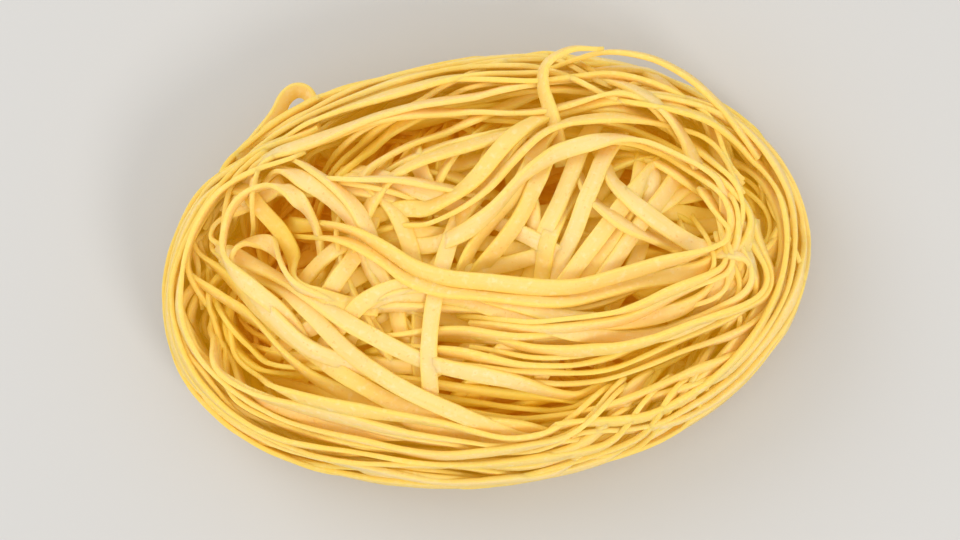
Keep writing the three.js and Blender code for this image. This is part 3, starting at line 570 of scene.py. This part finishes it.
def leaves_hollows(path):
    """Whether a path keeps out of the hollows."""
    return all(np.hypot(path[:, 0] - x, path[:, 1] - y).min() > radius for x, y, radius in HOLLOWS)


def lay_fill(pile, count, draw):
    """Single noodles across the nest, each where the pile is lowest."""
    noodles = []
    for _ in range(count):
        best, most_room = None, -math.inf
        for _ in range(TRIES):
            path = chord(draw)
            room = np.mean(skin(path[:, 0], path[:, 1]) - pile.at(path[:, 0], path[:, 1]))
            if room > most_room and leaves_hollows(path):
                best, most_room = path, room
        tilt = draw(-FILL_TILT, FILL_TILT)
        if best is not None:
            noodles.append(lay(pile, turned_in(best), 0, tilt, FILL_TWIST, draw))
    return noodles


def lay_bundles(pile, bundles, draw):
    """Bundles of noodles, lowest first."""
    noodles = []
    for (pitch, edged, tilt, twist, wander), count, route in bundles.values():
        middle = way(route)
        for j in range(count):
            place = j - (count - 1) / 2 + draw(-JITTER, JITTER)
            path = beside(middle, place * pitch, wander, draw)
            start = int(len(path) * draw(0, SHORTER))
            end = len(path) - int(len(path) * draw(0, SHORTER))
            side = 1 if draw() < TO_LEFT else -1
            lean = tilt * side * draw(*TILTS)
            noodles.append(lay(pile, turned_in(path[start:end]), edged, lean, twist, draw))
    return noodles


# Bringing the heap up to the nest's outside

HELD_DOWN = 0.6  # share by which what rises past the outside is pushed back


def blurred(grid):
    """A map with each value replaced by the mean of itself and its neighbours."""
    out = grid.copy()
    out[1:-1, :] = (grid[:-2, :] + 2 * grid[1:-1, :] + grid[2:, :]) / 4
    down = out.copy()
    out[:, 1:-1] = (down[:, :-2] + 2 * down[:, 1:-1] + down[:, 2:]) / 4
    return out


def smoothed_top(pile):
    """The pile's height over the plan, in blocks, smoothed where noodles lie."""
    rows, columns = -(-COUNT_X // BLOCK), -(-COUNT_Y // BLOCK)
    padded = np.zeros((rows * BLOCK, columns * BLOCK))
    padded[:COUNT_X, :COUNT_Y] = pile.top
    total = padded.reshape(rows, BLOCK, columns, BLOCK).max((1, 3))
    weight = (total > 0).astype(float)
    for _ in range(BLURS):
        total, weight = blurred(total), blurred(weight)
    return total / np.maximum(weight, 1e-6)


def between(grid, x, y):
    """A block map's value between its blocks' middles."""
    gx = (x + SPAN_X) / CELL / BLOCK - 0.5
    gy = (y + SPAN_Y) / CELL / BLOCK - 0.5
    i = np.clip(gx.astype(int), 0, grid.shape[0] - 2)
    j = np.clip(gy.astype(int), 0, grid.shape[1] - 2)
    near = grid[i, j] + (grid[i + 1, j] - grid[i, j]) * (gx - i)
    far = grid[i, j + 1] + (grid[i + 1, j + 1] - grid[i, j + 1]) * (gx - i)
    return near + (far - near) * (gy - j)


def levelled(noodle, top):
    """A noodle with its height scaled, so that the crown comes up to the nest's outside."""
    points, across, face = noodle
    x, y = points[:, 0], points[:, 1]
    z = points[:, 2] * smooth(skin(x, y) / between(top, x, y), SLIGHTLY)
    z = z - np.maximum(z - skin(x, y), 0) * HELD_DOWN
    level = np.abs(face[:, 2])
    z = np.maximum(z, clear_of_floor(level, np.sqrt(np.maximum(1 - level ** 2, 0))))
    return np.column_stack([x, y, z]), across, face


# The noodles inside and underneath

SPARE = 0.7  # kept free below the noodles that show
COVER = (-1.2, 1.2)  # how far from a noodle's middle line it keeps others below it
CLOSED = 0.25  # the most of a turn's length that may have no room

# Turns round the nest and small ones beside its middle: how far out, and how far moved
TURN_SWEEPS = (150, 320)
TURN_REACH = (0.1, 1)
TURN_SHIFT = (2, 1.5)
SMALL_REACH = (0.25, 0.45)
SMALL_SHIFT = (25, 12)

# Turns of a kind: their number, how far out they reach, their wander, tilt and twist
FLOOR_TURNS = (46, 0.8, 1.2, 0.15, 0.2)
FLOOR_TALL = 5.0
INNER_TURNS = (260, 0.95, 1.2, 0.6, 0.5)
RIM_TURNS = 30
RIM_SWEEPS = (120, 260)
RIM_SHARES = (0.82, 0.95)


def ceiling_of(noodles):
    """Height of the lowest noodle that shows, over the plan."""
    ceiling = skin(PLAN_X, PLAN_Y) - 2 * WIDE
    pile = Pile()
    for points, across, _ in noodles:
        for part in (0, 0.5):
            p, w = (a[:-1] * (1 - part) + a[1:] * part for a in (points, across))
            for share in np.linspace(*COVER, 9):
                spot = p + w * (share * WIDE / 2)
                np.minimum.at(ceiling, pile.cell(spot[:, 0], spot[:, 1]), spot[:, 2])
    return ceiling - SPARE


def turn(draw, most):
    """A turn round the nest, or round a place beside its middle."""
    sweep = draw(*TURN_SWEEPS) * (1 if draw() < 0.5 else -1)
    start = draw(0, 360)
    if draw() < 0.5:
        share, shift = most * math.sqrt(draw(*TURN_REACH)), TURN_SHIFT
    else:
        share, shift = draw(*SMALL_REACH), SMALL_SHIFT
    return way(np.array(rim(start, start + sweep, share)) + [draw(-far, far) for far in shift])


def emptiest(pile, room_over, draw, most):
    """Of a few turns, the one with the most room over the pile; None where there is hardly any."""
    best, most_room = None, 0.0
    for _ in range(TRIES):
        path = turn(draw, most)
        free = room_over(path[:, 0], path[:, 1]) - pile.at(path[:, 0], path[:, 1])
        if np.mean(free < THICK) < CLOSED and free.mean() > most_room:
            best, most_room = path, free.mean()
    return best


def held_below(noodle, ceiling, pile):
    """A noodle kept below those that show."""
    points, across, face = noodle
    least = clear_of_floor(np.abs(face[:, 2]), np.sqrt(np.maximum(1 - face[:, 2] ** 2, 0)))
    z = np.minimum(points[:, 2], smooth(ceiling[pile.cell(points[:, 0], points[:, 1])], WELL))
    return np.column_stack([points[:, :2], np.maximum(z, least)]), across, face


def lay_turns(pile, kind, room_over, draw):
    """Turns of one kind, each where it has the most room."""
    count, most, wander, tilt, twist = kind
    noodles = []
    for _ in range(count):
        path = emptiest(pile, room_over, draw, most)
        if path is not None:
            path = beside(path, 0, wander, draw)
            noodles.append(lay(pile, path, 0, tilt * draw(-1, 1), twist, draw, 0))
    return noodles


def lay_inner(above, draw):
    """Turns on the floor, along the rim, and over the core up to the noodles that show."""
    ceiling = ceiling_of(above)
    low = Pile()
    floor_turns = lay_turns(low, FLOOR_TURNS, lambda x, y: np.full(x.shape, FLOOR_TALL), draw)
    rim_turns = []
    for _ in range(RIM_TURNS):
        start = draw(0, 360)
        ring = way(rim(start, start + draw(*RIM_SWEEPS), draw(*RIM_SHARES)))
        path = beside(ring, 0, SIDE_WANDER, draw)
        rim_turns.append(lay(low, path, 0, 0, SIDE_TWIST, draw, 0))
    inside = Pile(core_top)
    inner_turns = lay_turns(inside, INNER_TURNS, lambda x, y: ceiling[inside.cell(x, y)], draw)
    return floor_turns + [held_below(noodle, ceiling, inside) for noodle in rim_turns + inner_turns]


# Meshes

FOLD = 0.45  # how far a noodle turns in a step before it counts as folded
FOLD_SPREAD = 0.7  # the share of a fold that the steps beside it take up
FOLD_MOVED = 0.02  # the least fold that turns a step
UNFOLD_ROUNDS = 40
EVEN = 0.15  # the most that a noodle turns over two steps made one
SHARP = 0.26  # how far it turns where a step is split in two
MOST_PARTS = 4
COARSE = 2.2  # how much further the inner noodles may turn

# A noodle's section, as shares of its width and thickness: square edges, a little thinner in the middle
SECTION = np.array([
    (-1, 0.3), (-0.9, 0.5), (0, 0.45), (0.9, 0.5), (1, 0.3),
    (1, -0.3), (0.9, -0.5), (0, -0.45), (-0.9, -0.5), (-1, -0.3),
])

# Unevenness along a noodle: wavelengths and depths
EDGE_WAVES = ((26, 0.03), (9, 0.018))
THICK_WAVES = ((31, 0.05), (12, 0.03))
SAG_WAVES = ((19, 0.1), (8, 0.06))
WAVE_CHANGE = (0.8, 1.25)
SAG_MIDDLE = 0.4  # where, between middle line and edges, the sag changes sides
APART = 1000  # between two noodles' patterns

# Depth inside, from the side and from above: where it starts, and over how much it grows
SIDE_DEPTH = (0.97, 0.25)
TOP_DEPTH = (2, 9)
FLOOR_DEPTH = 6


def waves(along, draw, sizes):
    """A slow uneven wave along a noodle, from wavelengths and depths."""
    total = 0
    for wave, depth in sizes:
        total = total + depth * np.sin(2 * math.pi * (along / (wave * draw(*WAVE_CHANGE)) + draw()))
    return total


def roof_of(noodles):
    """Height of the nest's upper surface over the plan, evened out."""
    pile = Pile()
    for noodle in noodles:
        pile.mark(noodle)
    return smoothed_top(pile)


def depth_inside(points, roof):
    """How deep inside the nest points are: 0 at its outside, 1 well within. It sets how much painted
    shade and glow the pasta gets there.
    """
    x, y, z = points.T
    reach = np.where(z > WAIST, TALL - WAIST, UNDER_WAIST)
    share = np.sqrt(oval_share(x, y) ** 2 + ((z - WAIST) / reach) ** 2)
    inside = np.clip((SIDE_DEPTH[0] - share) / SIDE_DEPTH[1], 0, 1)
    below = np.clip((between(roof, x, y) - z - TOP_DEPTH[0]) / TOP_DEPTH[1], 0, 1)
    return np.minimum(np.minimum(inside, below), np.clip(z / FLOOR_DEPTH, 0, 1))


def rounded(values, at):
    """Values between a row's own, on a smooth curve through them."""
    last = len(values) - 1
    i = np.minimum(at.astype(int), last - 1)
    t = (at - i)[:, None]
    a, b, c, d = (values[np.clip(i + k, 0, last)] for k in (-1, 0, 1, 2))
    return b + 0.5 * t * (c - a + t * (2 * a - 5 * b + 4 * c - d + t * (3 * (b - c) + d - a)))


def unfolded(noodle):
    """A noodle whose sharp folds are pulled out into bends."""
    points, across, face = (part.copy() for part in noodle)
    moved = np.zeros(len(points))
    for _ in range(UNFOLD_ROUNDS):
        along = unit(points[1:] - points[:-1])
        fold = np.zeros(len(points))
        fold[1:-1] = np.clip(np.linalg.norm(along[1:] - along[:-1], axis=1) - FOLD, 0, 1)
        fold[1:-1] = np.maximum(fold[1:-1], FOLD_SPREAD * np.maximum(fold[:-2], fold[2:]))
        pull = fold[1:-1, None] / 2
        for part in (points, face):
            part[1:-1] += pull * ((part[:-2] + part[2:]) / 2 - part[1:-1])
        moved = np.maximum(moved, fold)
    face = unit(face)
    side = unit(np.cross(face, np.gradient(points, axis=0)))
    return points, np.where((moved > FOLD_MOVED)[:, None], side, across), face


def refined(noodle, coarse):
    """A noodle with fewer steps where it is nearly straight, and more where it bends sharply."""
    points, _, face = noodle
    along = unit(np.gradient(points, axis=0))
    turns = sum(np.linalg.norm(rows[1:] - rows[:-1], axis=1) for rows in (along, face))
    at, i = [0.0], 0
    while i < len(turns):
        if i + 1 < len(turns) and turns[i] + turns[i + 1] < EVEN * coarse:
            i += 2
            at.append(float(i))
            continue
        parts = min(MOST_PARTS, 1 + int(turns[i] / (SHARP * coarse)))
        at += [i + k / parts for k in range(1, parts + 1)]
        i += 1
    points, across, face = (rounded(part, np.array(at)) for part in noodle)
    return points, unit(across), unit(face)


def noodle_mesh(noodles, roof, draw, coarse=1.0):
    """One mesh of many noodles: rings of the section along each, and a cap on each end."""
    ring = len(SECTION)
    corner = np.arange(ring)
    verts, quads, caps = [], [], []
    tones, alongs, acrosses, depths = [], [], [], []
    first = 0
    for noodle in noodles:
        points, across, face = refined(unfolded(noodle), coarse)
        count = len(points)
        along = np.concatenate([[0], np.cumsum(np.linalg.norm(points[1:] - points[:-1], axis=1))])
        left = 1 + waves(along, draw, EDGE_WAVES)
        right = 1 + waves(along, draw, EDGE_WAVES)
        thick = 1 + waves(along, draw, THICK_WAVES)
        sag = waves(along, draw, SAG_WAVES)
        tone = draw()
        rows = []
        for out, up in SECTION:
            aside = out * WIDE / 2 * (left if out < 0 else right)
            rise = up * THICK * thick + sag * (out * out - SAG_MIDDLE)
            rows.append(points + across * aside[:, None] + face * rise[:, None])
        verts.append(np.stack(rows, 1).reshape(-1, 3))
        tones.append(np.full(count * ring, tone))
        alongs.append(np.repeat(along + tone * APART, ring))
        acrosses.append(np.tile(SECTION[:, 0] * (WIDE / 2), count))
        depths.append(np.repeat(depth_inside(points, roof), ring))
        starts = first + np.arange(count - 1)[:, None] * ring
        low, nxt = starts + corner, starts + (corner + 1) % ring
        quads.append(np.stack([low, low + ring, nxt + ring, nxt], -1).reshape(-1, 4))
        caps.append((first + corner).tolist())
        caps.append((first + (count - 1) * ring + corner[::-1]).tolist())
        first += count * ring
    verts = np.concatenate(verts) * MM
    quads = np.concatenate(quads)
    mesh = bpy.data.meshes.new("noodles")
    mesh.from_pydata(verts.tolist(), [], quads.tolist() + caps)
    mesh.update()
    mesh.polygons.foreach_set("use_smooth", [True] * len(quads) + [False] * len(caps))
    for label, values in (("tone", tones), ("along", alongs), ("across", acrosses), ("depth", depths)):
        layer = mesh.attributes.new(label, "FLOAT", "POINT")
        layer.data.foreach_set("value", np.concatenate(values).astype(np.float32))
    return mesh


def link(name, data):
    """An object in the scene."""
    made = bpy.data.objects.new(name, data)
    bpy.context.scene.collection.objects.link(made)
    return made


def piece(name, mesh, material):
    """A piece of the nest."""
    mesh.name = name
    mesh.materials.append(material)
    made = link(name, mesh)
    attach(made, "root")
    return made


def core_mesh():
    """The core that the inner turns lie on."""
    mesh = bpy.data.meshes.new("core")
    bm = bmesh.new()
    bmesh.ops.create_icosphere(bm, subdivisions=CORE_ROUNDS, radius=1)
    for vert in bm.verts:
        x, y, z = vert.co
        side = y * CORE_SHORT + SLANT * x * CORE_LONG
        vert.co = (x * CORE_LONG * MM, side * MM, (CORE_MIDDLE + z * CORE_HALF_TALL) * MM)
    for face in bm.faces:
        face.smooth = True
    bm.to_mesh(mesh)
    bm.free()
    # Depth 1 all over, so the core takes the full painted shade and glow
    layer = mesh.attributes.new("depth", "FLOAT", "POINT")
    layer.data.foreach_set("value", np.ones(len(mesh.vertices), np.float32))
    return mesh


# Materials

class Value:
    """A socket's value, which takes part in sums."""

    def __init__(self, shader, socket):
        self.shader = shader
        self.socket = socket

    def _math(self, operation, *values):
        return self.shader.node("ShaderNodeMath", {"operation": operation}, *values)

    def __add__(self, other):
        return self._math("ADD", self, other)

    __radd__ = __add__

    def __mul__(self, other):
        return self._math("MULTIPLY", self, other)

    __rmul__ = __mul__

    def __sub__(self, other):
        return self._math("SUBTRACT", self, other)

    def __rsub__(self, other):
        return self._math("SUBTRACT", other, self)

    def between(self, low, high):
        """0 up to low, 1 from high, and eased from one to the other."""
        settings = {"interpolation_type": "SMOOTHSTEP"}
        return self.shader.node("ShaderNodeMapRange", settings, self, low, high, 0.0, 1.0)


class Shader:
    """A material's nodes round one Principled BSDF."""

    def __init__(self, name, **constants):
        self.material = bpy.data.materials.new(name)
        self.material.use_nodes = True
        self.tree = self.material.node_tree
        self.surface = self.tree.nodes["Principled BSDF"]
        for label, value in constants.items():
            self.surface.inputs[label.replace("_", " ")].default_value = value

    def node(self, kind, settings=None, *values, out=0, **named):
        """A new node, from its settings and the values or links of its sockets."""
        made = self.tree.nodes.new(kind)
        for label, value in (settings or {}).items():
            setattr(made, label, value)
        named = {label.replace("_", " "): value for label, value in named.items()}
        for socket, value in [*enumerate(values), *named.items()]:
            self.put(made.inputs[socket], value)
        return Value(self, made.outputs[out])

    def put(self, socket, value):
        """A link to a socket, or the socket's own value."""
        if isinstance(value, Value):
            self.tree.links.new(value.socket, socket)
        else:
            socket.default_value = value

    def attribute(self, label):
        """One of the mesh's own values."""
        return self.node("ShaderNodeAttribute", {"attribute_name": label}, out="Fac")

    def noise(self, where, scale, detail):
        """An uneven pattern from 0 to 1."""
        sockets = {"Vector": where, "Scale": scale, "Detail": detail}
        return self.node("ShaderNodeTexNoise", out="Fac", **sockets)

    def mix(self, share, low, high):
        """A colour between two: low's where share is 0, high's where it is 1."""
        made = self.tree.nodes.new("ShaderNodeMix")
        made.data_type = "RGBA"
        for socket, value in (("Factor", share), (6, low), (7, high)):
            self.put(made.inputs[socket], value)
        return Value(self, made.outputs[2])

    def set(self, label, value):
        """Sets or links one of the surface's sockets."""
        self.put(self.surface.inputs[label], value)


# The pasta's colours: its faces, and painted shade deep inside and in the deepest hollows
PALE = (0.95, 0.665, 0.29, 1)
EGG = (0.93, 0.62, 0.16, 1)
DEEP_SHADE = (0.95, 0.76, 0.09, 1)
DEEPEST_SHADE = (0.88, 0.50, 0.04, 1)

# Its streaks, flour and specks, and the painted shade along its edges
GRAIN = (0.91, 0.61, 0.12, 1)
FLOUR = (0.97, 0.77, 0.47, 1)
AMBER = (0.80, 0.42, 0.08, 1)
EDGE_SHADE = (0.88, 0.63, 0.09, 1)

# Painted glow, emitted, that stands in for light coming through it and bouncing between noodles: near
# the outside, deep inside, and in the deepest hollows
OUTSIDE_GLOW = (0.42, 0.31, 0.01, 1)
GLOW = (1.0, 0.64, 0.015, 1)
HOLLOW_GLOW = (0.45, 0.20, 0.004, 1)

# How fine its patterns are, per metre, and how fine its streaks are
CLOUDS = 90.0
GRAINS = 900.0
SPECKS = 1500.0
POWDER = 2600.0
STREAKS = 1.6
STREAK_LENGTHWISE = 0.05
STREAK_APART = 40.0
EDGE_FROM = (0.8, 1.45)  # how far from a noodle's middle line the painted shade along its edge begins, and is full


def dried_pasta():
    """Dried egg pasta: matt, a little see-through, floury, with fine streaks and specks of semolina,
    painted shade deep in the nest and along the noodles' edges, and a painted glow.
    """
    # The emission strength sets how strong the painted glow is
    shader = Shader("dried_pasta", Subsurface_Weight=0.3, Subsurface_Scale=0.0015,
        Subsurface_Radius=(1.0, 0.7, 0.2), IOR=1.45, Emission_Strength=0.145)
    tone = shader.attribute("tone")
    depth = shader.attribute("depth")
    across = shader.attribute("across")
    along = shader.attribute("along") * STREAK_LENGTHWISE
    lengthwise = shader.node("ShaderNodeCombineXYZ", None, along, across, tone * STREAK_APART)
    where = shader.node("ShaderNodeTexCoord", out="Object")
    streak = shader.noise(lengthwise, STREAKS, 4.0)
    cloud = shader.noise(where, CLOUDS, 3.0)
    fine = shader.noise(where, GRAINS, 2.0)
    speck = shader.noise(where, SPECKS, 1.0)
    base = shader.mix(tone * 0.9 + (cloud - 0.5) * 0.9 + 0.05, PALE, EGG)
    base = shader.mix(streak.between(0.45, 0.72) * 0.4, base, GRAIN)
    base = shader.mix(fine.between(0.5, 0.75) * 0.4, base, FLOUR)
    base = shader.mix(speck.between(0.66, 0.74) * 0.4, base, AMBER)
    # Painted shade: deeper inside the nest the colour turns darker and more orange
    deep = depth * (0.45 + tone * 0.5 + (streak - 0.5) * 0.5)
    base = shader.mix(deep, base, DEEP_SHADE)
    # Painted shade along each noodle's edges, stronger deep inside the nest
    edge = shader.node("ShaderNodeMath", {"operation": "ABSOLUTE"}, across).between(*EDGE_FROM)
    base = shader.mix(edge * (0.45 + depth * 0.35), base, EDGE_SHADE)
    # Painted shade, darkest and most orange in the deepest hollows
    deepest = depth.between(0.55, 1.0)
    shader.set("Base Color", shader.mix(deepest * 0.7, base, DEEPEST_SHADE))
    # Painted glow through the emission colour: strongest deep inside, weaker at the shaded edges
    glow = shader.mix(deep * (1.0 - edge * 0.7), OUTSIDE_GLOW, GLOW)
    shader.set("Emission Color", shader.mix(deepest, glow, HOLLOW_GLOW))
    shader.set("Roughness", 0.55 + fine * 0.2)
    height = fine * 0.5 + shader.noise(where, POWDER, 2.0) * 0.4 + streak * 0.5
    bump = {"Strength": 0.35, "Distance": 0.00012, "Height": height}
    shader.set("Normal", shader.node("ShaderNodeBump", out="Normal", **bump))
    return shader.material


def plain(name, colour, roughness):
    """A material of one colour."""
    return Shader(name, Base_Color=colour, Roughness=roughness).material


# The nest

pile = Pile(heap)
draw = seeded(SHOWN_SEED)
laid = lay_rings(pile, draw) + lay_bundles(pile, LOWER_BUNDLES, draw) + lay_fill(pile, FILL, draw)
laid += lay_bundles(pile, UPPER_BUNDLES, draw)
top = smoothed_top(pile)
shown = [levelled(noodle, top) for noodle in laid]
shown += [stand(*how) for how in LOOSE.values()]
half = len(shown) // 2
inner = lay_inner(shown, seeded(INNER_SEED))

roof = roof_of(shown)
tones = seeded(TONE_SEED)
pasta = dried_pasta()
noodles = piece("noodles_on_top", noodle_mesh(shown[half:], roof, tones), pasta)
piece("noodles_below", noodle_mesh(shown[:half], roof, tones), pasta)
piece("inner_noodles", noodle_mesh(inner, roof, tones, COARSE), pasta)
piece("core", core_mesh(), pasta)
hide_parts("nest")

# Floor, light and camera

TARGET = Vector((0, -0.0005, 0.018))
CAMERA_AT = (0.060, -0.037, 0.474)
LENS = 98
FLOOR_HALF = 2.0
FLOOR_GREY = (0.62, 0.61, 0.59, 1)
ROOM_LIGHT = 0.85


def turned(made, where, right=None):
    """Stands a light or camera somewhere, looking at the target."""
    back = (Vector(where) - TARGET).normalized()
    side = (right or Vector((0, 0, 1)).cross(back)).normalized()
    side = (side - back * side.dot(back)).normalized()
    facing = Matrix((side, back.cross(side), back)).transposed().to_4x4()
    made.matrix_world = Matrix.Translation(where) @ facing


def area_light(name, where, size, power, colour):
    """A round light that faces the target."""
    light = bpy.data.lights.new(name, "AREA")
    light.shape = "DISK"
    light.size = size
    light.energy = power
    light.color = colour
    turned(link(name, light), where)


floor_mesh = bpy.data.meshes.new("floor")
floor_bm = bmesh.new()
bmesh.ops.create_grid(floor_bm, x_segments=1, y_segments=1, size=FLOOR_HALF)
floor_bm.to_mesh(floor_mesh)
floor_bm.free()
floor_mesh.materials.append(plain("floor", FLOOR_GREY, roughness=0.9))
floor = link("floor", floor_mesh)

area_light("key", (0.38, -0.40, 0.62), size=0.22, power=1.75, colour=(1.0, 0.98, 0.95))
area_light("fill", (-0.45, 0.35, 0.60), size=0.60, power=1.5, colour=(0.97, 0.98, 1.0))

world = bpy.data.worlds.new("studio")
bpy.context.scene.world = world
world.use_nodes = True
sky = world.node_tree.nodes["Background"].inputs
sky["Color"].default_value = (1, 1, 1, 1)
sky["Strength"].default_value = ROOM_LIGHT

lens = bpy.data.cameras.new("camera")
lens.lens = LENS
camera = link("camera", lens)
turned(camera, CAMERA_AT, Vector((1, 0, 0)))
bpy.context.scene.camera = camera
bpy.context.scene.view_settings.view_transform = "Standard"
